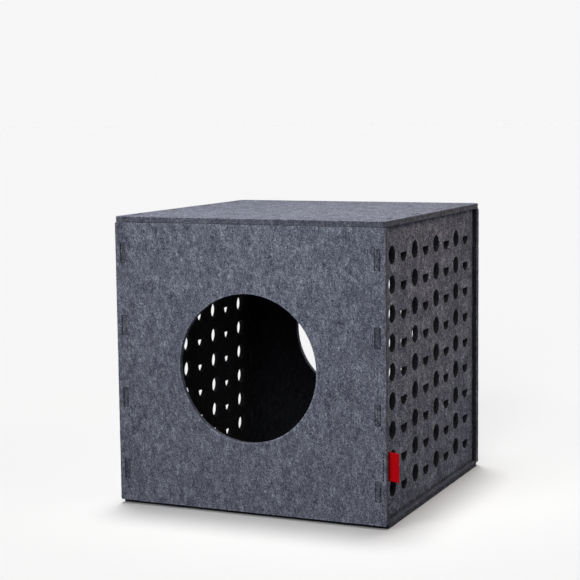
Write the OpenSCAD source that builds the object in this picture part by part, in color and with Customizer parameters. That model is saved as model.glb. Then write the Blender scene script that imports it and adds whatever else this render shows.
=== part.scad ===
// Felt pet cube. Six felt boards push together with tabs and slots: a front and a back board with a
// round doorway, two perforated side boards with tabs on all four edges, a lid and a base. A folded
// cloth label is sewn to the front board. The floor is z = 0, the front faces -Y, and the origin is
// the middle of the footprint.

/* [Box] */
// Width across the front and back boards
box_w = 394; // [340:1:460]
// Depth from the front face to the back face
box_d = 400; // [340:1:460]
// Height from the floor to the top of the lid
box_h = 400; // [340:1:460]
// Height of the lower edge of the front and back boards above the floor
floor_gap = 5; // [1:0.5:7]

/* [Felt boards] */
// Thickness of every felt board
felt_t = 8; // [5:0.5:12]
// Corner radius of the front and back boards
door_board_corner_r = 2; // [1:0.5:12]
// Corner radius of the lid
lid_corner_r = 5; // [1:0.5:12]
// Corner radius of the base
base_corner_r = 2.5; // [1:0.5:12]

/* [Tabs and slots] */
// Number of tabs along each edge of a side board
tab_count = 4; // [2:1:6]
// Length of a tab along its edge
tab_len = 27; // [16:0.5:40]
// Distance from the corner of a side board to the middle of its first tab
tab_margin = 42; // [30:1:60]
// Distance from the edge of a slotted board to the outer face of the side board
side_inset = 7.5; // [5:0.5:14]
// How far the end of a tab stays below the face of the board that it passes through
tab_setback = 0.8; // [0.2:0.1:2]
// Clearance round a tab in its slot
slot_gap = 0.25; // [0.1:0.05:0.6]

/* [Doorways] */
// Diameter of the round doorways
door_d = 200; // [140:1:260]

/* [Vents] */
// Diameter of the round vents, and width of the half-round ones
vent_d = 24; // [10:0.5:29]
// Number of vent columns from front to back, round and half-round in turn
vent_cols = 8; // [4:2:10]
// Number of vent rows
vent_rows = 9; // [4:1:10]
// Distance from the front edge of a side board to the middle of its first vent column
vent_margin_y = 36; // [24:1:60]
// Distance from the lower edge of a side board to the middle of its first vent row
vent_margin_z = 38.5; // [24:0.5:60]

/* [Label] */
// Height of the label
label_h = 38; // [20:1:60]
// How far the label stands out past the edge of the front board
label_reach = 14.5; // [8:0.5:30]
// Thickness of the two folded plies
label_t = 1; // [0.6:0.1:1.6]
// Height of the middle of the label above the floor
label_z = 83; // [60:1:200]
// Clearance at the bend of the label, and between its sewn end and the side board
label_gap = 0.3; // [0.2:0.05:0.8]

/* [Hidden] */
$fn = 96;
felt_grey = [0.36, 0.37, 0.41];
label_red = [0.74, 0.03, 0.05];

// A side board fills the space between the front and back boards, the base and the lid
side_l = box_d - 2 * felt_t;
side_h = box_h - 2 * felt_t;
tab_reach = felt_t - tab_setback;

// The slots lie over the edges of the side boards
slot_x = box_w / 2 - side_inset - felt_t / 2;
slot_size = [felt_t + 2 * slot_gap, tab_len + 2 * slot_gap];

// The front and back boards run from above the floor to the underside of the lid
door_board_h = box_h - felt_t - floor_gap;
door_board_mid = (floor_gap - felt_t) / 2;

// The vent pattern fills a side board between its margins
vent_pitch_y = (side_l - 2 * vent_margin_y) / (vent_cols - 1);
vent_pitch_z = (side_h - 2 * vent_margin_z) / (vent_rows - 1);

// The label bends about an upright line just past the edge of the front board
label_y = felt_t - box_d / 2;
label_bend_x = box_w / 2 + label_gap + label_t / 2;
label_sewn_l = side_inset - label_gap;
label_flap_l = label_reach - label_gap - label_t;

// Middles of the tabs along an edge, counted from the middle of the edge
function tab_places(edge_l) =
    [for (i = [0 : tab_count - 1])
        tab_margin - edge_l / 2 + i * (edge_l - 2 * tab_margin) / (tab_count - 1)];

// Outline of a board with round corners
module round_cornered(w, h, r) {
    square([w - 2 * r, h], center = true);
    square([w, h - 2 * r], center = true);
    for (sx = [-1, 1], sy = [-1, 1])
        translate([sx * (w / 2 - r), sy * (h / 2 - r)])
            circle(r);
}

// Both rows of slots for the tabs along one edge of the two side boards
module slot_rows(edge_l) {
    for (s = [-1, 1], p = tab_places(edge_l))
        translate([s * slot_x, p])
            square(slot_size, center = true);
}

// Front or back board, lying flat with the middle of its doorway at the origin
module door_board() {
    linear_extrude(felt_t)
        difference() {
            translate([0, door_board_mid])
                round_cornered(box_w, door_board_h, door_board_corner_r);
            circle(d = door_d);
            slot_rows(side_h);
        }
}

// Lid or base, lying flat, with its underside at z = 0
module flat_board(depth, corner_r) {
    linear_extrude(felt_t)
        difference() {
            round_cornered(box_w, depth, corner_r);
            slot_rows(side_l);
        }
}

// Outline of a side board, with tabs on its four edges as the ends of crossing strips
module side_outline() {
    square([side_l, side_h], center = true);
    for (p = tab_places(side_h))
        translate([0, p])
            square([side_l + 2 * tab_reach, tab_len], center = true);
    for (p = tab_places(side_l))
        translate([p, 0])
            square([tab_len, side_h + 2 * tab_reach], center = true);
}

// Lower half of a round vent
module half_vent() {
    intersection() {
        circle(d = vent_d);
        translate([-vent_d / 2, -vent_d / 2])
            square([vent_d, vent_d / 2]);
    }
}

// Columns of round and half-round vents in turn, starting with a round one at the front
module vents() {
    for (col = [0 : vent_cols - 1], row = [0 : vent_rows - 1])
        translate([vent_margin_y - side_l / 2 + col * vent_pitch_y,
                   vent_margin_z - side_h / 2 + row * vent_pitch_z])
            if (col % 2 == 0)
                circle(d = vent_d);
            else
                half_vent();
}

// Right side board in its place
module side_board() {
    translate([slot_x - felt_t / 2, 0, box_h / 2])
        rotate([90, 0, 90])
            linear_extrude(felt_t)
                difference() {
                    side_outline();
                    vents();
                }
}

module front_panel() {
    color(felt_grey)
        translate([0, felt_t - box_d / 2, box_h / 2])
            rotate([90, 0, 0])
                door_board();
}

module back_panel() {
    color(felt_grey)
        rotate([0, 0, 180])
            front_panel();
}

module right_side_panel() {
    color(felt_grey)
        side_board();
}

// The same board as on the right, turned half round
module left_side_panel() {
    color(felt_grey)
        rotate([0, 0, 180])
            side_board();
}

// The lid covers the top edges of the other boards
module lid_panel() {
    color(felt_grey)
        translate([0, 0, box_h - felt_t])
            flat_board(box_d, lid_corner_r);
}

// The base lies between the front and back boards and carries the box
module base_panel() {
    color(felt_grey)
        flat_board(side_l, base_corner_r);
}

// Sewn end of the label, flat on the inner face of the front board beside the side board
module label_sewn_end() {
    color(label_red)
        translate([box_w / 2 - label_sewn_l, label_y, label_z - label_h / 2])
            cube([label_sewn_l, label_t, label_h]);
}

// Free part of the label, from its bend to its fold
module label_flap() {
    color(label_red)
        translate([label_bend_x, label_y + label_t / 2, label_z - label_h / 2])
            linear_extrude(label_h) {
                circle(d = label_t);
                translate([0, -label_t / 2])
                    square([label_flap_l, label_t]);
                translate([label_flap_l, 0])
                    circle(d = label_t);
            }
}

front_panel();
back_panel();
left_side_panel();
right_side_panel();
lid_panel();
base_panel();
label_sewn_end();
label_flap();
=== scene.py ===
"""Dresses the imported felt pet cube: soft-edged felt boards, a folded cloth label and a studio stage."""

import math
from collections import namedtuple

import bpy
import numpy as np
from bpy.props import FloatProperty, FloatVectorProperty, IntProperty, PointerProperty
from mathutils import Matrix, Vector


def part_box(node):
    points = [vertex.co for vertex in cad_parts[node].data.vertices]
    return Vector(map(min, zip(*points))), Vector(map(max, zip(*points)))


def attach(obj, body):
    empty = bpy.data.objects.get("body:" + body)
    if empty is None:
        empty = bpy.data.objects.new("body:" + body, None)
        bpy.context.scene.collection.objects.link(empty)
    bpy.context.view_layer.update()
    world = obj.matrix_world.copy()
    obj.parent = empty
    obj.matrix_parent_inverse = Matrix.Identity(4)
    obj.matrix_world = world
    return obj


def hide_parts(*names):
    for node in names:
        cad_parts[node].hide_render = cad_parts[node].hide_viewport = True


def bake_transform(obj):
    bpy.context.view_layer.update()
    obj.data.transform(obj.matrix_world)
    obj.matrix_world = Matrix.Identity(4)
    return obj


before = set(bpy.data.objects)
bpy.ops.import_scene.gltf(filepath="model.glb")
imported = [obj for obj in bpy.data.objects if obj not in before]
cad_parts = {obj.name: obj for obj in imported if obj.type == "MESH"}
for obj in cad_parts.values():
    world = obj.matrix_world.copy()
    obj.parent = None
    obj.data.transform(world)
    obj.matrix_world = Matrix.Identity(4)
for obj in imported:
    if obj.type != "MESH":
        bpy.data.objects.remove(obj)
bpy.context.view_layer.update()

bl_info = {
    "name": "Felt pet cube",
    "version": (1, 0, 0),
    "blender": (4, 5, 0),
    "location": "3D View > Sidebar > Pet cube",
    "description": "Felt boards, cloth label and studio stage for a flat-pack pet cube",
    "category": "Object",
}

MM = 0.001

# Boxes of the CAD boards, which place every piece
FRONT_LOW, FRONT_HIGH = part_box("front_panel")
SIDE_LOW, SIDE_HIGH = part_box("right_side_panel")
LID_LOW, LID_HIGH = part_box("lid_panel")
BASE_LOW, BASE_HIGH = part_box("base_panel")
SEWN_LOW, SEWN_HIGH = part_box("label_sewn_end")
FLAP_LOW, FLAP_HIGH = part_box("label_flap")

FELT_T = FRONT_HIGH.y - FRONT_LOW.y
MID_Z = LID_HIGH.z / 2
SIDE_MID_X = (SIDE_LOW.x + SIDE_HIGH.x) / 2
SIDE_L = BASE_HIGH.y - BASE_LOW.y
SIDE_H = LID_LOW.z - BASE_HIGH.z

# Grid lines across a shoulder, in its radii, and across a sewn line, in stitch widths
SHOULDER_LINES = np.array([0.0, 0.2, 0.55, 1.0])
SEAM_LINES = np.linspace(-2, 2, 9)
# Grid lines are rounded to this many digits of a metre; the slacks are less than a digit and than a step
GRID_DIGITS = 7
GRID_SLACK = 1e-8
STEP_SLACK = 1e-6
TINY = 1e-9
# Half width of the square of rings round a doorway, in the doorway's radii, and how the rings widen
DOOR_CELL = 1.3
RING_GROWTH = 1.5
# Rings of points between the two faces on a cut edge
WALL_RINGS = 5
# Step for the slope of the felt's depth
NUDGE = 0.05 * MM

# Shortest and longest waves of a cut edge's line, of its wall, and of the broad and small lumps of a face
LINE_WAVES = 3 * MM, 14 * MM
WALL_WAVES = 2 * MM, 8 * MM
BROAD_WAVES = 12 * MM, 60 * MM
SMALL_WAVES = 5 * MM, 10 * MM
# Strength of those waves: of the ragged depth, and of the lump depth
LINE_SWING = 0.35
WALL_SWING = 0.4
BROAD_SWING = 0.22
SMALL_SWING = 0.12
# First random seed of the walls, counted from the board's own
WALL_SEED = 30
# Shift of the grain from one board's seed to the next, so that no two boards match
GRAIN_SHIFT = np.array([0.37, 0.19, 0.0])

# Points along a straight ply of the label, round its fold and over its height
RUN_POINTS = 25
FOLD_POINTS = 9
HEIGHT_POINTS = 41

# A stitch's thickness as a share of its width, its length as a share of the pitch, how deep the twist of
# its two plies is and how fast it turns, and how far a stitch strays from the line
STITCH_THICKNESS = 0.6
STITCH_LENGTH = 0.86
TWIST_DEPTH = 0.15
TWIST_PACE = 5
STITCH_STRAY = 0.1 * MM
STITCH_SEED = 9
BALL_SQUARES = 10

# Half width of the floor, and its colour as the object's light sees it
FLOOR_HALF = 60.0
FLOOR_BOUNCE = (0.25, 0.25, 0.25)
SUN_DISTANCE = 2
LAMP_SIZE = 0.4
LAMP_SPREAD = math.radians(44)
SENSOR_WIDTH = 36.0
CLIP_END = 200.0


class CutSettings(bpy.types.PropertyGroup):
    """Sizes of the cut-outs and tabs of the felt boards."""

    door_diameter: FloatProperty(
        name="Doorway", description="Diameter of the round doorways",
        default=200 * MM, unit="LENGTH")
    vent_diameter: FloatProperty(
        name="Vent", description="Diameter of the round vents and width of the half-round ones",
        default=24 * MM, unit="LENGTH")
    vent_columns: IntProperty(
        name="Vent columns", description="Columns of vents, round and half-round in turn", default=8)
    vent_rows: IntProperty(name="Vent rows", description="Rows of vents", default=9)
    vent_margin_depth: FloatProperty(
        name="Vent margin in depth", description="From a side board's edge to its first column",
        default=36 * MM, unit="LENGTH")
    vent_margin_height: FloatProperty(
        name="Vent margin in height", description="From a side board's edge to its first row",
        default=38.5 * MM, unit="LENGTH")
    tab_count: IntProperty(name="Tabs", description="Tabs along each edge of a side board", default=4)
    tab_length: FloatProperty(
        name="Tab length", description="Length of a tab along its edge", default=27 * MM, unit="LENGTH")
    tab_margin: FloatProperty(
        name="Tab margin", description="From a side board's corner to the middle of its first tab",
        default=42 * MM, unit="LENGTH")
    slot_gap: FloatProperty(
        name="Slot gap", description="Clearance round a tab in its slot", default=0.25 * MM, unit="LENGTH")
    door_board_corner: FloatProperty(
        name="Door board corner", description="Corner radius of the front and back boards",
        default=2 * MM, unit="LENGTH")
    lid_corner: FloatProperty(
        name="Lid corner", description="Corner radius of the lid", default=5 * MM, unit="LENGTH")
    base_corner: FloatProperty(
        name="Base corner", description="Corner radius of the base", default=2.5 * MM, unit="LENGTH")


class FeltSettings(bpy.types.PropertyGroup):
    """Surface and colours of the felt."""

    step: FloatProperty(
        name="Grid step", description="Usual step of the grid on a board", default=4.8 * MM, unit="LENGTH")
    edge_radius: FloatProperty(
        name="Soft edge", description="Radius of the shoulder along an outline or a slot",
        default=0.8 * MM, unit="LENGTH")
    doorway_radius: FloatProperty(
        name="Doorway radius", description="Radius of the shoulder along a doorway",
        default=0.7 * MM, unit="LENGTH")
    vent_radius: FloatProperty(
        name="Vent radius", description="Radius of the shoulder along a vent, which is cut more sharply",
        default=0.4 * MM, unit="LENGTH")
    lump_depth: FloatProperty(
        name="Lump depth", description="Depth of the soft unevenness of a face",
        default=0.16 * MM, unit="LENGTH")
    ragged_depth: FloatProperty(
        name="Ragged depth", description="How far a cut edge wanders in from its line",
        default=0.22 * MM, unit="LENGTH")
    ply_groove: FloatProperty(
        name="Ply groove", description="Depth of the line between the two pressed plies on a cut edge",
        default=0.18 * MM, unit="LENGTH")
    groove_width: FloatProperty(
        name="Groove width", description="Half width of that line", default=0.7 * MM, unit="LENGTH")
    # Painted highlight: a lighter line midway over the shoulder of every cut edge, for the light that loose
    # fibre there catches.
    painted_fuzz_highlight: FloatProperty(
        name="Fuzz", description="How much loose fibre lightens the shoulder of a cut edge", default=0.5)
    # Painted highlight: a lighter band on a door board's outer face, round its doorway and along its foot,
    # for the light that loose fibre on those edges catches.
    painted_rim_highlight: FloatProperty(
        name="Rim glow", default=0.4,
        description="How much loose fibre lightens the face round a doorway and along the foot")
    painted_highlight_width: FloatProperty(
        name="Glow width", description="Width of that lighter band", default=1.6 * MM, unit="LENGTH")
    edge_tone: FloatProperty(
        name="Edge tone", description="Brightness of a cut edge against the face of the felt", default=0.78)
    # Painted shade: the parts of the inner faces that show past the side boards, and the base's side edges
    # along the foot, are darkened to this brightness for the shade in those recesses. A door board's inner
    # face keeps this lighter painted shade over a strip of lit_strip's width at its edge, past the darker
    # painted inside shade.
    painted_rim_shade: FloatProperty(
        name="Rim tone", default=0.55,
        description="Brightness of the inner faces past their dark part, and of the base's side edges")
    lit_strip: FloatProperty(
        name="Lit strip", description="Width of the strip past the dark part on a front or back board",
        default=1.5 * MM, unit="LENGTH")
    side_stretch: FloatProperty(
        name="Side stretch", default=1.8,
        description="Stretch of the grain of the side boards along their depth")
    # The side boards' grain gets more contrast than the rest: part grain, part painted shade for the tiny
    # shadows that light grazing those boards casts among their fibres.
    side_grain_contrast_and_shade: FloatProperty(
        name="Side contrast", description="Contrast of the grain of the side boards", default=1.3)
    # Painted shade: a side board's outer face is darkened in a band along its edges, where it sits recessed
    # between the other boards, for the shade in that recess.
    painted_joint_shade: FloatProperty(
        name="Joint shade", description="How much darker a side board gets where it meets the other boards",
        default=0.6)
    joint_width: FloatProperty(
        name="Joint width", description="Width of that darker band", default=2.5 * MM, unit="LENGTH")
    tab_tone: FloatProperty(
        name="Tab tone", description="Brightness of the edges of a side board, which show as tab ends",
        default=0.74)
    # Painted shade: the walls of the vents are darkened far below the other cut edges for the shade deep
    # inside the holes.
    painted_vent_shade: FloatProperty(
        name="Vent tone", description="Brightness of the cut edge of a vent", default=0.10)
    # Painted shade: the inner faces, and the base's front and back edges under the front and back boards, are
    # darkened to this brightness for the shade inside the cube and under the boards.
    painted_inside_shade: FloatProperty(
        name="Inside tone", default=0.1,
        description="Brightness of the inner faces, and of the base's front and back edges")
    body_colour: FloatVectorProperty(
        name="Body", description="Part of the felt's colour that the mottle lightens and darkens",
        subtype="COLOR", default=(0.1268, 0.1365, 0.157))
    blue_tint: FloatVectorProperty(
        name="Blue tint", description="Part of the felt's colour that is even all over",
        subtype="COLOR", default=(0.0, 0.0, 0.029))
    light_fibre: FloatVectorProperty(
        name="Light fibre", description="Pale fibres in the blend", subtype="COLOR",
        default=(0.33, 0.34, 0.39))
    dark_fibre: FloatVectorProperty(
        name="Dark fibre", description="Dark fibres in the blend", subtype="COLOR",
        default=(0.025, 0.026, 0.038))


class LabelSettings(bpy.types.PropertyGroup):
    """Sizes and colours of the folded cloth label."""

    ply: FloatProperty(
        name="Ply", description="Thickness of the woven ribbon", default=0.32 * MM, unit="LENGTH")
    droop: FloatProperty(
        name="Droop", description="How far the folded end hangs below the sewn end",
        default=1.6 * MM, unit="LENGTH")
    wave_depth: FloatProperty(
        name="Wave depth", description="How far the folded end sways to the front and back",
        default=0.35 * MM, unit="LENGTH")
    thread_pitch: FloatProperty(
        name="Thread pitch", description="Length of one wave of the weave", default=0.55 * MM, unit="LENGTH")
    cloth_colour: FloatVectorProperty(
        name="Cloth", description="Woven label colour", subtype="COLOR", default=(0.68, 0.003, 0.008))
    shade_colour: FloatVectorProperty(
        name="Shade", description="Colour between the threads", subtype="COLOR", default=(0.43, 0.0, 0.003))
    seam_inset: FloatProperty(
        name="Seam inset", description="From the front board's edge to the sewn line that holds the label",
        default=4.2 * MM, unit="LENGTH")
    seam_depth: FloatProperty(
        name="Seam depth", description="How far the sewn line draws the felt in",
        default=0.6 * MM, unit="LENGTH")
    stitch_count: IntProperty(name="Stitches", description="Stitches along the label's height", default=9)
    stitch_width: FloatProperty(
        name="Stitch width", description="Width of the flat sewing thread", default=1.5 * MM, unit="LENGTH")
    thread_colour: FloatVectorProperty(
        name="Thread", description="Sewing thread colour", subtype="COLOR", default=(0.012, 0.014, 0.022))


class StageSettings(bpy.types.PropertyGroup):
    """Camera, lamps and floor."""

    azimuth: FloatProperty(
        name="Azimuth", description="Camera's turn from the front towards the right side",
        default=math.radians(24.113), subtype="ANGLE")
    elevation: FloatProperty(
        name="Elevation", description="Downward tilt of the camera",
        default=math.radians(6.604), subtype="ANGLE")
    roll: FloatProperty(
        name="Roll", description="Turn of the camera about its line of sight",
        default=math.radians(-0.658), subtype="ANGLE")
    distance: FloatProperty(
        name="Distance", description="From the camera to the middle of the cube, along its line of sight",
        default=2.2087, unit="LENGTH")
    step_right: FloatProperty(
        name="Step right", description="Camera's sideways step in its own plane",
        default=-23.96 * MM, unit="LENGTH")
    step_up: FloatProperty(
        name="Step up", description="Camera's upward step in its own plane", default=83.1 * MM, unit="LENGTH")
    lens: FloatProperty(
        name="Lens", description="Focal length for a 36 mm sensor, in millimetres", default=94.79)
    top_strength: FloatProperty(
        name="Top light", description="Strength of the soft light overhead that leans forwards", default=0.5)
    back_strength: FloatProperty(
        name="Back light", description="Strength of the soft light overhead that leans back", default=2.2)
    front_strength: FloatProperty(
        name="Front light", description="Strength of the large soft light in front", default=1.06)
    softness: FloatProperty(
        name="Softness", default=math.radians(15), subtype="ANGLE",
        description="Angle that a light overhead fills; the one in front fills twice as much")
    near_strength: FloatProperty(
        name="Near light", description="Power of the lamp near the upper front edge, in watts", default=0.3)
    side_strength: FloatProperty(
        name="Side light", description="Power of the lamp near the lid's right edge, in watts",
        default=0.165)
    side_tint: FloatVectorProperty(
        name="Side tint", description="Colour of that lamp", subtype="COLOR", default=(1.0, 0.7, 0.45))
    fill_strength: FloatProperty(
        name="Fill light", description="Strength of the light all round", default=0.18)
    floor_colour: FloatVectorProperty(
        name="Floor", description="Pale studio floor", subtype="COLOR", default=(0.79, 0.79, 0.79))


# A board in its own plane. outline holds rectangles (u0, v0, u1, v1) that together make the board, the
# first with the corner radius; slots holds rectangles cut out of it; holes holds rows of (u, v, radius,
# 1 for a half-round one), cells the rectangle round each hole that its rings fill, hole_shoulder the radius
# of the shoulder along a hole, edge_tone, end_tone and hole_tone the brightness of the cut edges along the
# sides, at the two ends of v and in the holes (painted shade on all the base's edges and in the vents),
# inside the distance from the middle up to which the inner face carries the darker painted shade, and sewn
# holds upright sewn lines (u, v0, v1).
CutPlan = namedtuple("CutPlan", ("outline", "corner", "slots", "holes", "cells", "hole_shoulder",
                                 "edge_tone", "end_tone", "hole_tone", "inside", "sewn"))

# A layer of the felt's mottle: whether it sways with the fibres, its turn, the size of its cells across,
# along and through the grain, the detail of its noise, and its gain
Mottle = namedtuple("Mottle", ("swayed", "turn", "size", "detail", "gain"))
TUFT = Mottle(True, 0.0, (1.2 * MM, 1.8 * MM, 1.2 * MM), 1.0, 1.60)
STREAK = Mottle(True, 0.1, (1.7 * MM, 10 * MM, 1.7 * MM), 1.0, 0.5)
CLUMP = Mottle(True, 0.15, (2.6 * MM, 6.5 * MM, 2.6 * MM), 1.0, 0.6)
PATCH = Mottle(False, 0.1, (6.5 * MM, 13 * MM, 6.5 * MM), 1.0, 0.52)
CLOUD = Mottle(False, 0.2, (20 * MM, 34 * MM, 20 * MM), 2.0, 0.36)

# Turns of the pale and dark fibres, and the length, width and depth of one
PALE_TURNS = (0.2, 1.0, 1.9, 2.7)
PALE_SIZE = (6 * MM, 0.35 * MM, 0.7 * MM)
DARK_TURNS = (0.6, 1.5, 2.3, 3.0)
DARK_SIZE = (5 * MM, 0.40 * MM, 0.8 * MM)


def tab_places(edge):
    """Middles of the tabs along an edge: even steps between the two end margins."""
    cuts = bpy.context.scene.pet_cuts
    reach = edge / 2 - cuts.tab_margin
    return np.linspace(-reach, reach, cuts.tab_count)


def slot_rows(edge):
    """Rectangles of the slots for both side boards: a tab's section grown by the slot gap."""
    cuts = bpy.context.scene.pet_cuts
    half_u = FELT_T / 2 + cuts.slot_gap
    half_v = cuts.tab_length / 2 + cuts.slot_gap
    return [(s * SIDE_MID_X - half_u, p - half_v, s * SIDE_MID_X + half_u, p + half_v)
            for s in (-1, 1) for p in tab_places(edge)]


def door_board_plan(sewn=()):
    """Front and back board, with the middle of the doorway at (0, 0)."""
    cuts, felt = bpy.context.scene.pet_cuts, bpy.context.scene.pet_felt
    radius = cuts.door_diameter / 2
    cell = radius * DOOR_CELL
    outline = [(FRONT_LOW.x, FRONT_LOW.z - MID_Z, FRONT_HIGH.x, FRONT_HIGH.z - MID_Z)]
    return CutPlan(outline, cuts.door_board_corner, slot_rows(SIDE_H),
                   np.array([(0.0, 0.0, radius, 0.0)]), [(-cell, -cell, cell, cell)], felt.doorway_radius,
                   felt.edge_tone, felt.edge_tone, felt.edge_tone, FRONT_HIGH.x - felt.lit_strip, sewn)


def flat_board_plan(low, high, corner, tone, end_tone):
    """Lid and base: a plain board with two rows of slots."""
    return CutPlan([(low.x, low.y, high.x, high.y)], corner, slot_rows(SIDE_L), np.zeros((0, 4)), [],
                   0.0, tone, end_tone, tone, SIDE_MID_X, ())


def side_board_plan():
    """Side board: a rectangle crossed by strips whose ends are the tabs, with a grid of vents."""
    cuts, felt = bpy.context.scene.pet_cuts, bpy.context.scene.pet_felt
    half_l, half_h, half_tab = SIDE_L / 2, SIDE_H / 2, cuts.tab_length / 2
    end_u, end_v = SIDE_HIGH.y, SIDE_HIGH.z - MID_Z
    outline = [(-half_l, -half_h, half_l, half_h)]
    outline += [(-end_u, p - half_tab, end_u, p + half_tab) for p in tab_places(SIDE_H)]
    outline += [(p - half_tab, -end_v, p + half_tab, end_v) for p in tab_places(SIDE_L)]
    reach_u, reach_v = half_l - cuts.vent_margin_depth, half_h - cuts.vent_margin_height
    columns = np.linspace(-reach_u, reach_u, cuts.vent_columns)
    rows = np.linspace(-reach_v, reach_v, cuts.vent_rows)
    half_u, half_v = (columns[1] - columns[0]) / 2, (rows[1] - rows[0]) / 2
    holes = np.array([(u, v, cuts.vent_diameter / 2, i % 2) for i, u in enumerate(columns) for v in rows])
    cells = [(u - half_u, v - half_v, u + half_u, v + half_v) for u in columns for v in rows]
    return CutPlan(outline, 0.0, [], holes, cells, felt.vent_radius, felt.tab_tone, felt.tab_tone,
                   felt.painted_vent_shade, half_l, ())


def rectangle_depth(u, v, rectangle, corner=0.0):
    """Depth inside a rectangle with round corners: the rounded-box distance with its sign turned."""
    u0, v0, u1, v1 = rectangle
    a = np.abs(u - (u0 + u1) / 2) - ((u1 - u0) / 2 - corner)
    b = np.abs(v - (v0 + v1) / 2) - ((v1 - v0) / 2 - corner)
    outside = np.hypot(np.maximum(a, 0), np.maximum(b, 0))
    return corner - outside - np.minimum(np.maximum(a, b), 0)


def felt_depth(plan, u, v):
    """Distance from points to the nearest cut edge, positive in the felt: the largest depth over the
    outline's rectangles, lessened by the distance to every slot and hole."""
    corners = [plan.corner] + [0.0] * (len(plan.outline) - 1)
    depth = np.max([rectangle_depth(u, v, r, c) for r, c in zip(plan.outline, corners)], axis=0)
    for slot in plan.slots:
        depth = np.minimum(depth, -rectangle_depth(u, v, slot))
    return np.minimum(depth, hole_distance(plan, u, v))


def hole_distance(plan, u, v):
    """Distance from points to the nearest hole, negative inside it. A half-round hole is a disc cut off
    above its middle."""
    if not len(plan.holes):
        return np.full(u.shape, np.inf)
    du = u[:, None] - plan.holes[:, 0]
    dv = v[:, None] - plan.holes[:, 1]
    ring = np.hypot(du, dv) - plan.holes[:, 2]
    return np.where(plan.holes[:, 3] > 0, np.maximum(ring, dv), ring).min(axis=1)


def near_hole(plan, u, v):
    """Whether points belong to the cut edge of a hole and not to that of an outline or slot."""
    return hole_distance(plan, u, v) < 2 * bpy.context.scene.pet_felt.edge_radius


def seam_depth(plan, u, v):
    """How far sewn lines draw the felt in: a bell across each line, cut off softly past its ends."""
    label = bpy.context.scene.pet_label
    depth = np.zeros(u.shape)
    for line_u, v0, v1 in plan.sewn:
        across = (u - line_u) / label.stitch_width
        past = np.maximum(np.maximum(v0 - v, v - v1), 0) / label.stitch_width
        depth += label.seam_depth * np.exp(-across ** 2 - past ** 2)
    return depth


def inward_ways(plan, u, v):
    """Unit vectors away from the nearest cut edge: the slope of the felt's depth, by differences to both
    sides."""
    slope = np.stack([felt_depth(plan, u + NUDGE, v) - felt_depth(plan, u - NUDGE, v),
                      felt_depth(plan, u, v + NUDGE) - felt_depth(plan, u, v - NUDGE)], axis=1)
    return slope / np.maximum(np.linalg.norm(slope, axis=1, keepdims=True), TINY)


def node_lines(edges, seams, step, radius):
    """Grid lines along one direction: every cut edge with lines beside it for the soft shoulder, every
    seam between cells, and even steps between them."""
    beside = np.concatenate([-SHOULDER_LINES[:0:-1], SHOULDER_LINES]) * radius
    lines = np.concatenate([np.add.outer(edges, beside).ravel(), seams])
    lines = lines[(lines >= min(edges)) & (lines <= max(edges))]
    lines = np.unique(np.round(lines, GRID_DIGITS))
    gaps = np.diff(lines)
    parts = np.ceil(gaps / step - STEP_SLACK).astype(int)
    first = np.repeat(np.cumsum(parts) - parts, parts)
    within = np.arange(parts.sum()) - first
    return np.append(np.repeat(lines[:-1], parts) + within * np.repeat(gaps / parts, parts), lines[-1])


def hole_rim(hole, border):
    """Points on a hole's edge, one on the ray from its middle through each border point. On a half-round
    hole the ray starts at the centroid of the half disc and ends at the flat or at the arc."""
    u, v, radius, half = hole
    start = np.array([u, v - half * 4 * radius / (3 * math.pi)])
    ray = border - start
    ray /= np.linalg.norm(ray, axis=1, keepdims=True)
    offset = start - (u, v)
    along = ray @ offset
    reach = -along + np.sqrt(along ** 2 - offset @ offset + radius ** 2)
    if half:
        reach = np.minimum(reach, -offset[1] / np.maximum(ray[:, 1], TINY))
    rim = start + ray * reach[:, None]
    if half:
        ends = np.array([(u - radius, v), (u + radius, v)])
        nearest = np.linalg.norm(rim[:, None] - ends, axis=2).argmin(axis=0)
        rim[nearest] = ends
    return rim


def hole_rings(rim, border, step, radius):
    """Rings of points from a hole's edge to the border of its cell: the shoulder's lines at set distances
    from the edge, then steps along each ray that widen with the power RING_GROWTH of their number."""
    length = np.linalg.norm(border - rim, axis=1)
    count = max(2, int(math.ceil(length.mean() / step)))
    share = np.linspace(0, 1, count + 1)[1:-1, None] ** RING_GROWTH
    near = SHOULDER_LINES[:, None] * radius / length
    far = near[-1] + (1 - near[-1]) * share
    blend = np.concatenate([near, far])[..., None]
    return rim + (border - rim) * blend


def round_corners(points, rectangle, corner):
    """Moves the corner squares of a rectangle onto quarter discs: with a and b from 0 to 1 across the
    square, a goes to a times the root of 1 - b squared / 2, and b likewise."""
    if corner == 0:
        return points
    u0, v0, u1, v1 = rectangle
    middle = np.array([(u0 + u1) / 2, (v0 + v1) / 2])
    inner = np.array([(u1 - u0) / 2, (v1 - v0) / 2]) - corner
    side = np.sign(points - middle)
    a, b = np.clip((np.abs(points - middle) - inner) / corner, 0, 1).T
    disc = np.stack([a * np.sqrt(1 - b ** 2 / 2), b * np.sqrt(1 - a ** 2 / 2)], axis=1)
    moved = middle + side * (inner + corner * disc)
    return np.where(((a > 0) & (b > 0))[:, None], moved, points)


def grid_faces(ids):
    """Four-sided faces between the neighbours of an array of point numbers, over its last two axes."""
    corners = [ids[..., :-1, :-1], ids[..., 1:, :-1], ids[..., 1:, 1:], ids[..., :-1, 1:]]
    return np.stack(corners, axis=-1)


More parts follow.
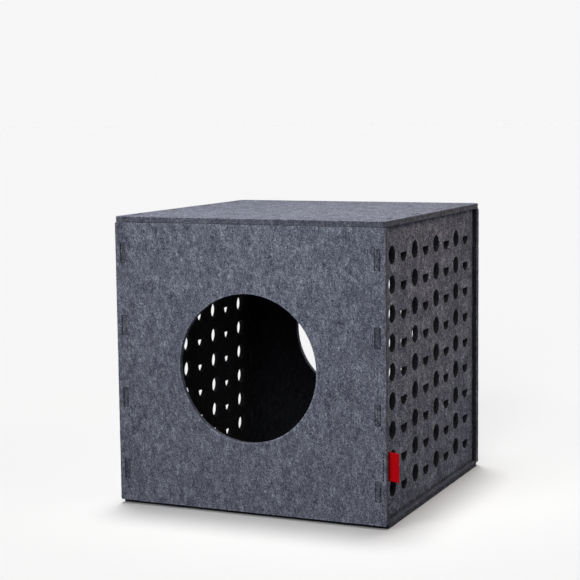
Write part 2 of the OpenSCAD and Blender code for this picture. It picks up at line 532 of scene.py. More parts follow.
def board_lines(plan):
    """Grid lines of a board in u and in v."""
    felt, label = bpy.context.scene.pet_felt, bpy.context.scene.pet_label
    rectangles = np.array(plan.outline + plan.slots)
    cells = np.array(plan.cells).reshape(-1, 4)
    u0, v0, u1, v1 = plan.outline[0]
    seams_u = np.concatenate([cells[:, [0, 2]].ravel(), [u0 + plan.corner, u1 - plan.corner]])
    for line_u, _, _ in plan.sewn:
        seams_u = np.append(seams_u, line_u + SEAM_LINES * label.stitch_width)
    seams_v = np.concatenate([cells[:, [1, 3]].ravel(), [v0 + plan.corner, v1 - plan.corner]])
    return (node_lines(rectangles[:, [0, 2]].ravel(), seams_u, felt.step, felt.edge_radius),
            node_lines(rectangles[:, [1, 3]].ravel(), seams_v, felt.step, felt.edge_radius))


def board_grid(plan):
    """One face of a board as points (u, v) and four-sided faces. A grid of lines covers the board and is
    left out over slots and past the outline; each hole's cell is filled by rings from the hole's edge to
    the grid points on the cell's border, so that neighbours share their points."""
    step = bpy.context.scene.pet_felt.step
    lines_u, lines_v = board_lines(plan)
    grid_u, grid_v = np.meshgrid(lines_u, lines_v, indexing="ij")
    ids = np.arange(grid_u.size).reshape(grid_u.shape)
    mid_u = (grid_u[1:, 1:] + grid_u[:-1, :-1]) / 2
    mid_v = (grid_v[1:, 1:] + grid_v[:-1, :-1]) / 2
    keep = np.max([rectangle_depth(mid_u, mid_v, r) for r in plan.outline], axis=0) > 0
    for gap in plan.slots + plan.cells:
        keep &= rectangle_depth(mid_u, mid_v, gap) < 0
    points = [np.stack([grid_u.ravel(), grid_v.ravel()], axis=1)]
    faces = [grid_faces(ids)[keep]]
    count = grid_u.size
    for hole, cell in zip(plan.holes, plan.cells):
        i0, i1 = np.searchsorted(lines_u, np.round(cell[0::2], GRID_DIGITS) - GRID_SLACK)
        j0, j1 = np.searchsorted(lines_v, np.round(cell[1::2], GRID_DIGITS) - GRID_SLACK)
        loop = np.concatenate([ids[i0:i1, j0], ids[i1, j0:j1], ids[i1:i0:-1, j1], ids[i0, j1:j0:-1]])
        border = points[0][loop]
        rings = hole_rings(hole_rim(hole, border), border, step, plan.hole_shoulder)
        ring_ids = np.arange(rings[..., 0].size).reshape(rings.shape[:2]) + count
        ring_ids = np.concatenate([ring_ids, loop[None]])
        ring_ids = np.concatenate([ring_ids, ring_ids[:, :1]], axis=1)
        points.append(rings.reshape(-1, 2))
        faces.append(grid_faces(ring_ids).reshape(-1, 4))
        count += rings[..., 0].size
    used, faces = np.unique(np.concatenate(faces), return_inverse=True)
    points = round_corners(np.concatenate(points)[used], plan.outline[0], plan.corner)
    return points, faces.reshape(-1, 4)


def waves(u, v, seed, shortest, longest, count=40):
    """Smooth random field of about unit strength: a sum of plane waves with random directions, lengths
    and phases."""
    random = np.random.default_rng(seed)
    turn = random.uniform(0, 2 * math.pi, count)
    pace = 2 * math.pi / random.uniform(shortest, longest, count)
    phase = random.uniform(0, 2 * math.pi, count)
    swing = np.sin(np.outer(u, pace * np.cos(turn)) + np.outer(v, pace * np.sin(turn)) + phase)
    return swing.sum(axis=1) / math.sqrt(count / 2)


def open_edges(faces):
    """Edges that only one face has, as pairs of points in that face's direction."""
    pairs = np.stack([faces, np.roll(faces, -1, axis=1)], axis=-1).reshape(-1, 2)
    _, place, times = np.unique(np.sort(pairs, axis=1), axis=0, return_inverse=True, return_counts=True)
    return pairs[times[place.ravel()] == 1]


def shoulder(plan, u, v, depth):
    """How far a face drops near a cut edge, by a quarter circle, and a value that goes from 0 at the edge
    to 1 where the shoulder ends."""
    edge_radius = bpy.context.scene.pet_felt.edge_radius
    radius = np.where(near_hole(plan, u, v), plan.hole_shoulder, edge_radius)
    short = np.clip(radius - depth, 0, radius)
    return radius - np.sqrt(radius ** 2 - short ** 2), 1 - short / radius


def face_lumps(u, v, seed, face):
    """Unevenness of face 1 or 2 of a board, from 0 to 1: broad waves with small ones on them."""
    lump = 0.5 + BROAD_SWING * waves(u, v, seed + face, *BROAD_WAVES)
    lump += SMALL_SWING * waves(u, v, seed + 10 * face, *SMALL_WAVES)
    return np.clip(lump, 0, 1)


def wall_rings(points, settled, inward, seed):
    """Rings of points down the wall of the cut edges, by ring, point and (u, v, w). Each follows the ragged
    line, sunk by a bell-shaped groove where the two plies meet and by a tremble of its own."""
    felt = bpy.context.scene.pet_felt
    heights = np.linspace(1, -1, WALL_RINGS + 2)[1:-1] * (FELT_T / 2 - felt.edge_radius)
    groove = felt.ply_groove * np.exp(-(heights / felt.groove_width) ** 2)
    tremble = [felt.ragged_depth * WALL_SWING * waves(*points.T, seed + WALL_SEED + ring, *WALL_WAVES)
               for ring in range(WALL_RINGS)]
    sunk = settled + inward * (groove[:, None] + np.maximum(tremble, 0))[..., None]
    return np.concatenate([sunk, np.broadcast_to(heights[:, None, None], sunk.shape[:2] + (1,))], axis=2)


def board_tone(plan, u, v, rim, cut):
    """Brightness of the points of the outer face, the inner face and the walls. A face goes over to the tone
    of its cut edge as cut goes from 0 to 1, with a painted highlight, strongest halfway, where loose fibre
    catches the light. The inner faces carry painted shade for the inside of the cube and its recesses. The
    outer face of a door board has a painted highlight round its doorway and along its foot, and that of a
    side board painted shade along its recessed joints; both fade as a bell."""
    felt = bpy.context.scene.pet_felt
    size = len(u)
    low_v, high_v = plan.outline[0][1::2]
    at_end = np.minimum(v - low_v, high_v - v) < 2 * felt.edge_radius
    edge = np.where(near_hole(plan, u, v), plan.hole_tone, np.where(at_end, plan.end_tone, plan.edge_tone))
    # Inner faces: painted shade, darker inside the cube and lighter on the edge strips that show past the
    # side boards.
    inner = np.where(np.abs(u) < plan.inside, felt.painted_inside_shade, felt.painted_rim_shade)
    face = np.concatenate([np.ones(size), inner, np.ones(len(rim) * WALL_RINGS)])
    edge = np.concatenate([edge, edge, np.tile(edge[rim], WALL_RINGS)])
    tone = (face + (edge - face) * cut) * (1 + felt.painted_fuzz_highlight * 4 * cut * (1 - cut))
    has_doorway, has_tabs = len(plan.holes) == 1, len(plan.outline) > 1
    if has_doorway:
        # Painted highlight round the doorway and along the foot.
        from_edge = np.minimum(hole_distance(plan, u, v), v - low_v)
        tone[:size] *= 1 + felt.painted_rim_highlight * np.exp(-(from_edge / felt.painted_highlight_width) ** 2)
    if has_tabs:
        # Painted shade along the side board's joints, where it is recessed.
        from_joint = np.maximum(rectangle_depth(u, v, plan.outline[0]), 0)
        tone[:size] *= 1 - felt.painted_joint_shade * np.exp(-(from_joint / felt.joint_width) ** 2)
    return tone


def felt_solid(plan, seed):
    """A closed board with soft edges, as points (u, v, w), faces, a value that is 1 on cut edges and a
    brightness that holds painted shade and painted highlights. Both faces follow the ragged line of a cut
    edge, less and less away from it, drop by its shoulder, and sink in soft lumps and along sewn lines; a
    wall joins them round every cut edge."""
    felt = bpy.context.scene.pet_felt
    points, faces = board_grid(plan)
    rim, edges = np.unique(open_edges(faces), return_inverse=True)
    edges = edges.reshape(-1, 2)
    u, v = points.T
    depth = np.maximum(felt_depth(plan, u, v), 0)
    depth[rim] = 0

    inward = inward_ways(plan, u, v)
    wander = felt.ragged_depth * np.clip(0.5 + LINE_SWING * waves(u, v, seed, *LINE_WAVES), 0, 1)
    settled = points + inward * (wander * np.exp(-depth / (2 * felt.edge_radius)))[:, None]
    drop, fade = shoulder(plan, u, v, depth)
    seam = seam_depth(plan, u, v)
    levels = []
    for side, face in ((1, 1), (-1, 2)):
        rise = FELT_T / 2 - drop - felt.lump_depth * fade * face_lumps(u, v, seed, face) - seam
        levels.append(np.column_stack([settled, side * rise]))
    walls = wall_rings(points[rim], settled[rim], inward[rim], seed)

    size = len(points)
    wall_ids = 2 * size + np.arange(len(rim) * WALL_RINGS).reshape(WALL_RINGS, -1)
    stack = np.concatenate([rim[None], wall_ids, size + rim[None]])
    left, right = stack[:, edges[:, 0]], stack[:, edges[:, 1]]
    wall_faces = np.stack([left[:-1], left[1:], right[1:], right[:-1]], axis=-1).reshape(-1, 4)
    solid = np.concatenate(levels + [walls.reshape(-1, 3)])
    cut = np.concatenate([1 - fade, 1 - fade, np.ones(wall_ids.size)])
    every_face = np.concatenate([faces, faces[:, ::-1] + size, wall_faces])
    return solid, every_face, cut, board_tone(plan, u, v, rim, cut)


def new_mesh(name, points, faces):
    """Mesh object at the origin from arrays of points and four-sided faces, smooth shaded."""
    mesh = bpy.data.meshes.new(name)
    mesh.vertices.add(len(points))
    mesh.vertices.foreach_set("co", np.ascontiguousarray(points, np.float32).ravel())
    mesh.loops.add(faces.size)
    mesh.loops.foreach_set("vertex_index", np.ascontiguousarray(faces, np.int32).ravel())
    mesh.polygons.add(len(faces))
    mesh.polygons.foreach_set("loop_start", np.arange(0, faces.size, 4, dtype=np.int32))
    mesh.polygons.foreach_set("use_smooth", np.ones(len(faces), bool))
    mesh.update(calc_edges=True)
    if mesh.validate():
        raise RuntimeError(f"the mesh of {name} has faulty faces")
    piece = bpy.data.objects.new(name, mesh)
    bpy.context.scene.collection.objects.link(piece)
    return piece


def set_attribute(piece, name, kind, values):
    """Stores one value or vector for each point of a piece."""
    field = "vector" if kind == "FLOAT_VECTOR" else "value"
    attribute = piece.data.attributes.new(name, kind, "POINT")
    attribute.data.foreach_set(field, np.ascontiguousarray(values, np.float32).ravel())


def add_felt_board(name, node, body, plan, middle, across, up, seed, stretch=1.0, contrast=1.0):
    """Places a board: a point is the board's middle plus u across, v up and w along their cross product,
    which points out of the cube. The grain of the felt is stretched along u."""
    solid, faces, cut, tone = felt_solid(plan, seed)
    outward = np.cross(across, up)
    piece = new_mesh(name, np.array(middle) + solid @ np.array([across, up, outward], float), faces)
    set_attribute(piece, "felt_place", "FLOAT_VECTOR", solid / (stretch, 1, 1) + seed * GRAIN_SHIFT)
    set_attribute(piece, "cut_edge", "FLOAT", cut)
    set_attribute(piece, "felt_tone_and_painted_light", "FLOAT", tone)
    set_attribute(piece, "felt_contrast", "FLOAT", np.full(len(solid), contrast))
    piece.data.materials.append(felt_material())
    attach(piece, body)
    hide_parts(node)


class Shader:
    """Adds linked nodes to a new material or world."""

    def __init__(self, owner):
        self.owner = owner
        owner.use_nodes = True
        self.tree = owner.node_tree

    def link(self, value, socket):
        """Links a socket to a socket, or sets a plain value."""
        if isinstance(value, bpy.types.NodeSocket):
            self.tree.links.new(value, socket)
        elif value is not None:
            socket.default_value = value

    def fill(self, node, inputs):
        """Links or sets inputs of a node, given by name or place."""
        for key, value in inputs.items():
            self.link(value, node.inputs[key])

    def node(self, kind, inputs=None, **settings):
        """Adds a node with settings and inputs, and returns it."""
        node = self.tree.nodes.new(kind)
        for key, value in settings.items():
            setattr(node, key, value)
        self.fill(node, inputs or {})
        return node

    def surface(self, inputs):
        """Links or sets inputs of a material's surface."""
        self.fill(self.tree.nodes["Principled BSDF"], inputs)

    def attribute(self, name, output="Fac"):
        return self.node("ShaderNodeAttribute", attribute_name=name).outputs[output]

    def math(self, operation, a, b=None):
        return self.node("ShaderNodeMath", {0: a, 1: b}, operation=operation).outputs[0]

    def vector(self, operation, inputs):
        return self.node("ShaderNodeVectorMath", inputs, operation=operation).outputs[0]

    def noise(self, place, scale, detail):
        inputs = {"Vector": place, "Scale": scale, "Detail": detail}
        return self.node("ShaderNodeTexNoise", inputs).outputs

    def ramp(self, value, low, high, to_low=0.0, to_high=1.0):
        inputs = {"Value": value, 1: low, 2: high, 3: to_low, 4: to_high}
        return self.node("ShaderNodeMapRange", inputs, interpolation_type="SMOOTHSTEP").outputs[0]

    def mix(self, share, a, b, blend="MIX"):
        colours = [c if isinstance(c, bpy.types.NodeSocket) else (*c, 1) for c in (a, b)]
        inputs = {0: share, 6: colours[0], 7: colours[1]}
        return self.node("ShaderNodeMix", inputs, data_type="RGBA", blend_type=blend).outputs[2]

    def bump(self, height, strength, distance):
        inputs = {"Height": height, "Strength": strength, "Distance": distance}
        return self.node("ShaderNodeBump", inputs).outputs[0]

    def background_rays(self):
        """1 on rays that show the background, and 0 on those that carry light to the object."""
        path = self.node("ShaderNodeLightPath").outputs
        seen = self.math("MAXIMUM", path["Is Camera Ray"], path["Is Glossy Ray"])
        return self.math("MAXIMUM", seen, path["Is Transmission Ray"])


def stretched_noise(shader, place, turn, size, detail):
    """Noise with cells of a given size along u, v and w, turned about w and shifted by its turn."""
    inputs = {"Vector": place, "Location": (turn, turn / 2, 0), "Rotation": (0, 0, turn), "Scale": size}
    turned = shader.node("ShaderNodeMapping", inputs, vector_type="TEXTURE")
    return shader.noise(turned.outputs[0], 1.0, detail)["Fac"]


def fibre_mat(shader, place, turns, size):
    """Fibres in several directions: in each, noise stretched to a fibre's length and width and cut to its
    crests; the strongest holds at each point."""
    mat = None
    for turn in turns:
        layer = shader.ramp(stretched_noise(shader, place, turn, size, detail=1.0), low=0.58, high=0.76)
        mat = layer if mat is None else shader.math("MAXIMUM", mat, layer)
    return mat


def swayed_place(shader, place):
    """Places moved by up to 3 mm along each axis by a noise, so that the grain bends."""
    sway = shader.noise(place, scale=110.0, detail=1.0)["Color"]
    sway = shader.vector("ADD", {0: sway, 1: (-0.5, -0.5, -0.5)})
    sway = shader.vector("SCALE", {0: sway, "Scale": 6 * MM})
    return shader.vector("ADD", {0: place, 1: sway})


def felt_material():
    """Mottled pressed felt. Its tone is the cube of 1 plus a sum of noises from single tufts to broad
    clouds; pale and dark fibres lie over it in all directions, and the surface is dry and matt with a
    little sheen."""
    known = bpy.data.materials.get("pressed_felt")
    if known:
        return known
    felt = bpy.context.scene.pet_felt
    shader = Shader(bpy.data.materials.new("pressed_felt"))
    place = shader.attribute("felt_place", "Vector")
    brightness = shader.attribute("felt_tone_and_painted_light")
    swayed = swayed_place(shader, place)

    noises = {layer: stretched_noise(shader, swayed if layer.swayed else place, layer.turn, layer.size,
                                     layer.detail)
              for layer in (TUFT, STREAK, CLUMP, PATCH, CLOUD)}
    mottle = 0.0
    for layer, noise in noises.items():
        swing = shader.math("MULTIPLY", shader.math("SUBTRACT", noise, 0.5), layer.gain)
        mottle = shader.math("ADD", mottle, swing)
    mottle = shader.math("MULTIPLY", mottle, shader.attribute("felt_contrast"))
    least_tone = 0.4
    tone = shader.math("MAXIMUM", shader.math("ADD", 1.0, mottle), least_tone)
    tone = shader.math("POWER", tone, 3.0)
    pale = fibre_mat(shader, swayed, PALE_TURNS, PALE_SIZE)
    dark = fibre_mat(shader, swayed, DARK_TURNS, DARK_SIZE)

    colour = shader.mix(1.0, felt.body_colour, tone, "MULTIPLY")
    colour = shader.mix(1.0, colour, felt.blue_tint, "ADD")
    for fibres, cover, fibre_colour in ((dark, 0.6, felt.dark_fibre), (pale, 0.5, felt.light_fibre)):
        colour = shader.mix(shader.math("MULTIPLY", fibres, cover), colour, fibre_colour)
    # The per-point brightness multiplies in the cut edges' own tone together with painted shade (inner faces,
    # vents, recesses, joints, base edges) and painted highlights (shoulders, doorway rim, foot).
    colour = shader.mix(1.0, colour, brightness, "MULTIPLY")

    fibre_height = 0.25
    height = shader.math("MULTIPLY", shader.math("SUBTRACT", pale, dark), fibre_height)
    height = shader.math("ADD", height, noises[TUFT])
    strength = shader.ramp(shader.attribute("cut_edge"), low=0.0, high=1.0, to_low=0.5, to_high=1.0)
    shader.surface({"Base Color": colour, "Normal": shader.bump(height, strength, distance=0.9 * MM),
                    "Specular IOR Level": 0.08, "Sheen Weight": 0.05, "Roughness": 0.95,
                    "Sheen Roughness": 0.6})
    return shader.owner


def label_material():
    """Woven ribbon: fine crossing threads, the product of a sine along the ribbon and a faster one across
    it, on a darker ground, with painted shade where it comes out from behind the board."""
    label = bpy.context.scene.pet_label
    shader = Shader(bpy.data.materials.new("woven_label"))
    place = shader.attribute("cloth_place", "Vector")
    along, across, past_edge = shader.node("ShaderNodeSeparateXYZ", {0: place}).outputs
    pace = 2 * math.pi / label.thread_pitch
    weft_share = 1.4
    warp = shader.math("SINE", shader.math("MULTIPLY", along, pace))
    weft = shader.math("SINE", shader.math("MULTIPLY", across, pace * weft_share))
    lift = shader.ramp(shader.math("MULTIPLY", warp, weft), low=-1.0, high=1.0)
    tint = shader.noise(place, scale=900.0, detail=2.0)["Fac"]
    share = shader.math("MULTIPLY", lift, shader.ramp(tint, low=0.3, high=0.7, to_low=0.75, to_high=1.0))
    colour = shader.mix(share, label.shade_colour, label.cloth_colour)
    # Painted shade at the label's root, where it comes out from behind the front board's edge.
    shade = shader.ramp(past_edge, low=0.6 * MM, high=4.0 * MM, to_low=0.25, to_high=1.0)
    shader.surface({"Base Color": shader.mix(1.0, colour, shade, "MULTIPLY"),
                    "Normal": shader.bump(lift, strength=0.4, distance=0.12 * MM),
                    "Roughness": 0.7, "Specular IOR Level": 0.06})
    return shader.owner


def thread_material():
    """Dark sewing thread: a dull colour that wavers towards one four times as bright."""
    label = bpy.context.scene.pet_label
    shader = Shader(bpy.data.materials.new("sewing_thread"))
    tint = shader.noise(shader.attribute("cloth_place", "Vector"), scale=1800.0, detail=2.0)["Fac"]
    share = shader.ramp(tint, low=0.4, high=0.75, to_low=0.0, to_high=0.5)
    pale = [4 * part for part in label.thread_colour]
    shader.surface({"Base Color": shader.mix(share, label.thread_colour, pale), "Roughness": 0.75,
                    "Specular IOR Level": 0.15})
    return shader.owner


def sewn_line():
    """The line that holds the label on the front board, as (u, v0, v1) in the board's plane."""
    inset = bpy.context.scene.pet_label.seam_inset
    return FRONT_HIGH.x - inset, FLAP_LOW.z - MID_Z, FLAP_HIGH.z - MID_Z


def label_path():
    """The ribbon seen from above, as x, y and the length along it: straight out from the sewn end, half a
    circle round the fold, and straight back."""
    ply = bpy.context.scene.pet_label.ply
    near_y, far_y = FLAP_LOW.y + ply / 2, FLAP_HIGH.y - ply / 2
    loop = (far_y - near_y) / 2
    straight = FLAP_HIGH.x - ply / 2 - loop - SEWN_LOW.x
    run = np.linspace(0, straight, RUN_POINTS)
    turn = np.linspace(-math.pi / 2, math.pi / 2, FOLD_POINTS)[1:-1]
    x = np.concatenate([run, straight + loop * np.cos(turn), run[::-1]]) + SEWN_LOW.x
    y = np.concatenate([np.full(RUN_POINTS, near_y), (near_y + far_y) / 2 + loop * np.sin(turn),
                        np.full(RUN_POINTS, far_y)])
    return x, y, np.append(0, np.cumsum(np.hypot(np.diff(x), np.diff(y))))


def unit_ball(count):
    """Closed ball as points and four-sided faces: the sides of a cube, each a grid of count by count
    squares with its lines at the tangents of even angles, and every point moved out to distance 1."""
    line = np.tan(np.linspace(-1, 1, count + 1) * math.pi / 4)
    a, b = np.meshgrid(line, line, indexing="ij")
    one = np.ones_like(a)
    sides = [(one, a, b), (-one, b, a), (b, one, a), (a, -one, b), (a, b, one), (b, a, -one)]
    points = np.array([np.stack(side, axis=-1) for side in sides])
    ids = np.arange(points[..., 0].size).reshape(points.shape[:3])
    points, place = np.unique(np.round(points.reshape(-1, 3), 6), axis=0, return_inverse=True)
    faces = place.ravel()[grid_faces(ids).reshape(-1, 4)]
    return points / np.linalg.norm(points, axis=1, keepdims=True), faces


class PETCUBE_OT_door_boards(bpy.types.Operator):
    """Felt front and back boards, with a round doorway and rows of slots."""

    bl_idname = "petcube.door_boards"
    bl_label = "Front and back boards"

    def execute(self, context):
        depth = FRONT_HIGH.y - FELT_T / 2
        up = (0, 0, 1)
        front, back = door_board_plan([sewn_line()]), door_board_plan()
        add_felt_board("felt_front", "front_panel", "front", front, (0, depth, MID_Z), (1, 0, 0), up, seed=1)
        add_felt_board("felt_back", "back_panel", "back", back, (0, -depth, MID_Z), (-1, 0, 0), up, seed=2)
        return {"FINISHED"}


class PETCUBE_OT_side_boards(bpy.types.Operator):
    """Felt side boards, with tabs on four edges and columns of vents. The left one is the right one turned
    half round."""

    bl_idname = "petcube.side_boards"
    bl_label = "Side boards"

    def execute(self, context):
        felt = context.scene.pet_felt
        plan = side_board_plan()
        up = (0, 0, 1)
        grain = {"stretch": felt.side_stretch, "contrast": felt.side_grain_contrast_and_shade}
        add_felt_board("felt_right", "right_side_panel", "carcass", plan, (SIDE_MID_X, 0, MID_Z),
                       (0, 1, 0), up, seed=3, **grain)
        add_felt_board("felt_left", "left_side_panel", "carcass", plan, (-SIDE_MID_X, 0, MID_Z),
                       (0, -1, 0), up, seed=4, **grain)
        return {"FINISHED"}


class PETCUBE_OT_flat_boards(bpy.types.Operator):
    """Felt lid and base, with round corners and rows of slots."""

    bl_idname = "petcube.flat_boards"
    bl_label = "Lid and base"

    def execute(self, context):
        lid_z = LID_HIGH.z - FELT_T / 2
        base_z = BASE_LOW.z + FELT_T / 2
        back = (0, 1, 0)
        cuts, felt = context.scene.pet_cuts, context.scene.pet_felt
        lid = flat_board_plan(LID_LOW, LID_HIGH, cuts.lid_corner, felt.edge_tone, felt.edge_tone)
        # The base's cut edges carry painted shade: its side edges take the rim shade, its front and back
        # edges the darker inside shade.
        base = flat_board_plan(BASE_LOW, BASE_HIGH, cuts.base_corner, felt.painted_rim_shade, felt.painted_inside_shade)
        add_felt_board("felt_lid", "lid_panel", "lid", lid, (0, 0, lid_z), (1, 0, 0), back, seed=5)
        add_felt_board("felt_base", "base_panel", "carcass", base, (0, 0, base_z), (-1, 0, 0), back, seed=6)
        return {"FINISHED"}


class PETCUBE_OT_label(bpy.types.Operator):
    """Folded red cloth label in the seam beside the front board. Past the board it hangs lower with the
    power 1.5 of its reach, and sways with the square of it by three quarters of a wave over its height."""

    bl_idname = "petcube.label"
    bl_label = "Label"

    def execute(self, context):
        label = context.scene.pet_label
        path_x, path_y, length = label_path()
        height = np.linspace(FLAP_LOW.z, FLAP_HIGH.z, HEIGHT_POINTS)
        reach = np.clip((path_x - FRONT_HIGH.x) / (FLAP_HIGH.x - FRONT_HIGH.x), 0, 1)[:, None]
        wave = np.sin((height - height[0]) / (height[-1] - height[0]) * 1.5 * math.pi)
        grid_z = height - label.droop * reach ** 1.5
        grid_y = path_y[:, None] + label.wave_depth * reach ** 2 * wave
        grid_x = np.broadcast_to(path_x[:, None], grid_z.shape)
        points = np.stack([grid_x, grid_y, grid_z], axis=-1).reshape(-1, 3)
        ids = np.arange(len(points)).reshape(grid_z.shape)
        piece = new_mesh("cloth_label", points, grid_faces(ids).reshape(-1, 4))
        # The third coordinate, the reach past the front board's edge, places the painted shade at the label's
        # root.
        flat = np.stack([np.broadcast_to(length[:, None], grid_z.shape),
                         np.broadcast_to(height, grid_z.shape), grid_x - FRONT_HIGH.x], axis=-1)
        set_attribute(piece, "cloth_place", "FLOAT_VECTOR", flat.reshape(-1, 3))
        piece.data.materials.append(label_material())
        wall = piece.modifiers.new("ply", "SOLIDIFY")
        wall.thickness = label.ply
        wall.offset = 0
        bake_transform(piece)
        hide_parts("label_sewn_end", "label_flap")
        return {"FINISHED"}


class PETCUBE_OT_stitches(bpy.types.Operator):
    """Two rows of stitches, on the front board and on the sewn end of the label. Each stitch is a ball drawn
    out to its length, with a two-ply twist round it and its ends sunk into the felt."""

    bl_idname = "petcube.stitches"
    bl_label = "Stitches"

    def execute(self, context):
        label = context.scene.pet_label
        line_x, v0, v1 = sewn_line()
        pitch = (v1 - v0) / label.stitch_count
        thick = STITCH_THICKNESS * label.stitch_width
        ball, faces = unit_ball(BALL_SQUARES)
        turn = np.arctan2(ball[:, 1], ball[:, 0]) + TWIST_PACE * ball[:, 2]
        twist = 1 - TWIST_DEPTH * np.sin(turn) ** 2
        thread = ball * np.column_stack([twist, twist, np.ones(len(ball))])
        thread *= np.array([label.stitch_width, thick, STITCH_LENGTH * pitch]) / 2
        sunk = label.seam_depth + 0.5 * thick * (ball[:, 2] ** 2 - 0.5)
        random = np.random.default_rng(STITCH_SEED)
        heights = MID_Z + v0 + pitch * (np.arange(label.stitch_count) + 0.5)
        rows = []
        for face_y, inward in ((FRONT_LOW.y, 1), (SEWN_HIGH.y, -1)):
            row = thread + np.column_stack([np.zeros(len(ball)), inward * sunk, np.zeros(len(ball))])
            stray = random.uniform(-STITCH_STRAY, STITCH_STRAY, len(heights))
            middles = np.column_stack([line_x + stray, np.full(len(heights), face_y), heights])
            rows.append(middles[:, None] + row[None])
        points = np.concatenate(rows)
        every_face = faces[None] + (np.arange(len(points)) * len(ball))[:, None, None]
        piece = new_mesh("label_stitches", points.reshape(-1, 3), every_face.reshape(-1, 4))
        set_attribute(piece, "cloth_place", "FLOAT_VECTOR", points.reshape(-1, 3))
        piece.data.materials.append(thread_material())
        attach(piece, "front")
        return {"FINISHED"}


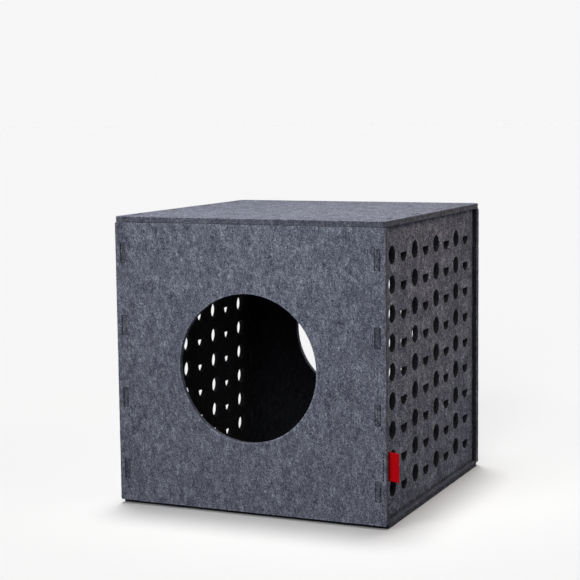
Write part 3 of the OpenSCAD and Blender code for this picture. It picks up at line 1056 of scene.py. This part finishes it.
class PETCUBE_OT_stage(bpy.types.Operator):
    """Pale floor, soft light and the camera."""

    bl_idname = "petcube.stage"
    bl_label = "Stage"

    def execute(self, context):
        stage = context.scene.pet_stage
        self.add_floor(stage)
        on_floor = stage.fill_strength + self.add_suns(context, stage)
        self.add_lamps(context, stage)
        self.add_world(context, stage, on_floor)
        self.add_camera(context, stage)
        context.scene.view_settings.view_transform = "Standard"
        return {"FINISHED"}

    def add_floor(self, stage):
        """Wide flat floor that shows pale in the picture and throws back little light."""
        corners = FLOOR_HALF * np.array([(-1, -1, 0), (1, -1, 0), (1, 1, 0), (-1, 1, 0)])
        floor = new_mesh("floor", corners, np.array([[0, 1, 2, 3]]))
        shader = Shader(bpy.data.materials.new("studio_floor"))
        colour = shader.mix(shader.background_rays(), FLOOR_BOUNCE, stage.floor_colour)
        shader.surface({"Base Color": colour, "Roughness": 1.0, "Specular IOR Level": 0.0})
        floor.data.materials.append(shader.owner)

    def add_suns(self, context, stage):
        """Two soft lights overhead that lean forwards and back, and one in front. Returns what they give
        the floor: the sum of each one's strength times its downward part, over pi."""
        on_floor = 0.0
        for name, strength, size, way in (
                ("top", stage.top_strength, stage.softness, (0.07, 0.12, -1.0)),
                ("back", stage.back_strength, stage.softness, (0.07, -0.15, -1.0)),
                ("front", stage.front_strength, 2 * stage.softness, (-0.21, 0.88, -0.42))):
            way = Vector(way).normalized()
            light = bpy.data.lights.new(name, "SUN")
            light.energy = strength
            light.angle = size
            self.hang(context, light, -SUN_DISTANCE * way, way)
            on_floor -= way.z * strength / math.pi
        return on_floor

    def add_lamps(self, context, stage):
        """Two small lamps, near the upper front edge and near the lid's right edge."""
        front_edge = Vector((0, FRONT_LOW.y, LID_LOW.z))
        right_edge = Vector((SIDE_HIGH.x, 0, LID_LOW.z))
        for name, power, tint, place, aim in (
                ("near", stage.near_strength, (1, 1, 1), Vector((-0.15, -0.80, 0.95)), front_edge),
                ("side", stage.side_strength, stage.side_tint, Vector((0.80, 0.0, 0.95)), right_edge)):
            light = bpy.data.lights.new(name, "AREA")
            light.energy = power
            light.color = tint
            light.shape = "SQUARE"
            light.size = LAMP_SIZE
            light.spread = LAMP_SPREAD
            self.hang(context, light, place, aim - place)

    def add_world(self, context, stage, on_floor):
        """Even light all round, and a backdrop as bright as the far floor, which the lamps don't reach."""
        shader = Shader(bpy.data.worlds.new("studio"))
        nodes = shader.tree.nodes
        glow = nodes["Background"]
        shader.fill(glow, {"Color": (1, 1, 1, 1), "Strength": stage.fill_strength})
        backdrop = shader.node("ShaderNodeBackground",
                               {"Color": (*stage.floor_colour, 1), "Strength": on_floor})
        mix = shader.node("ShaderNodeMixShader",
                          {0: shader.background_rays(), 1: glow.outputs[0], 2: backdrop.outputs[0]})
        shader.link(mix.outputs[0], nodes["World Output"].inputs["Surface"])
        context.scene.world = shader.owner

    def hang(self, context, light, place, direction):
        """Hangs a light at a place, shining along a direction."""
        lamp = bpy.data.objects.new(light.name, light)
        lamp.location = place
        lamp.rotation_euler = direction.to_track_quat("-Z", "Y").to_euler()
        context.scene.collection.objects.link(lamp)

    def add_camera(self, context, stage):
        """Camera that looks back along a direction set by azimuth and elevation, stepped in its own plane."""
        a, e = stage.azimuth, stage.elevation
        back = Vector((math.sin(a) * math.cos(e), -math.cos(a) * math.cos(e), math.sin(e)))
        right = Vector((math.cos(a), math.sin(a), 0))
        up = back.cross(right)
        turn = Matrix.Rotation(stage.roll, 3, back)
        right, up = turn @ right, turn @ up
        camera = bpy.data.objects.new("camera", bpy.data.cameras.new("camera"))
        camera.data.sensor_width = SENSOR_WIDTH
        camera.data.lens = stage.lens
        camera.data.clip_end = CLIP_END
        place = Vector((0, 0, MID_Z)) + back * stage.distance + right * stage.step_right + up * stage.step_up
        camera.matrix_world = Matrix.Translation(place) @ Matrix((right, up, back)).transposed().to_4x4()
        context.scene.collection.objects.link(camera)
        context.scene.camera = camera


class PETCUBE_PT_panel(bpy.types.Panel):
    """Lists the steps that dress the cube."""

    bl_idname = "PETCUBE_PT_panel"
    bl_label = "Pet cube"
    bl_space_type = "VIEW_3D"
    bl_region_type = "UI"
    bl_category = "Pet cube"

    def draw(self, context):
        for step in STEPS:
            self.layout.operator(step.bl_idname)


SETTINGS = {"pet_cuts": CutSettings, "pet_felt": FeltSettings, "pet_label": LabelSettings,
            "pet_stage": StageSettings}
STEPS = (PETCUBE_OT_door_boards, PETCUBE_OT_side_boards, PETCUBE_OT_flat_boards, PETCUBE_OT_label,
         PETCUBE_OT_stitches, PETCUBE_OT_stage)
CLASSES = (*SETTINGS.values(), *STEPS, PETCUBE_PT_panel)


def register():
    for cls in CLASSES:
        bpy.utils.register_class(cls)
    for name, group in SETTINGS.items():
        setattr(bpy.types.Scene, name, PointerProperty(type=group))


def unregister():
    for name in SETTINGS:
        delattr(bpy.types.Scene, name)
    for cls in reversed(CLASSES):
        bpy.utils.unregister_class(cls)


def main():
    register()
    bpy.ops.petcube.door_boards()
    bpy.ops.petcube.side_boards()
    bpy.ops.petcube.flat_boards()
    bpy.ops.petcube.label()
    bpy.ops.petcube.stitches()
    bpy.ops.petcube.stage()


if __name__ == "__main__":
    main()
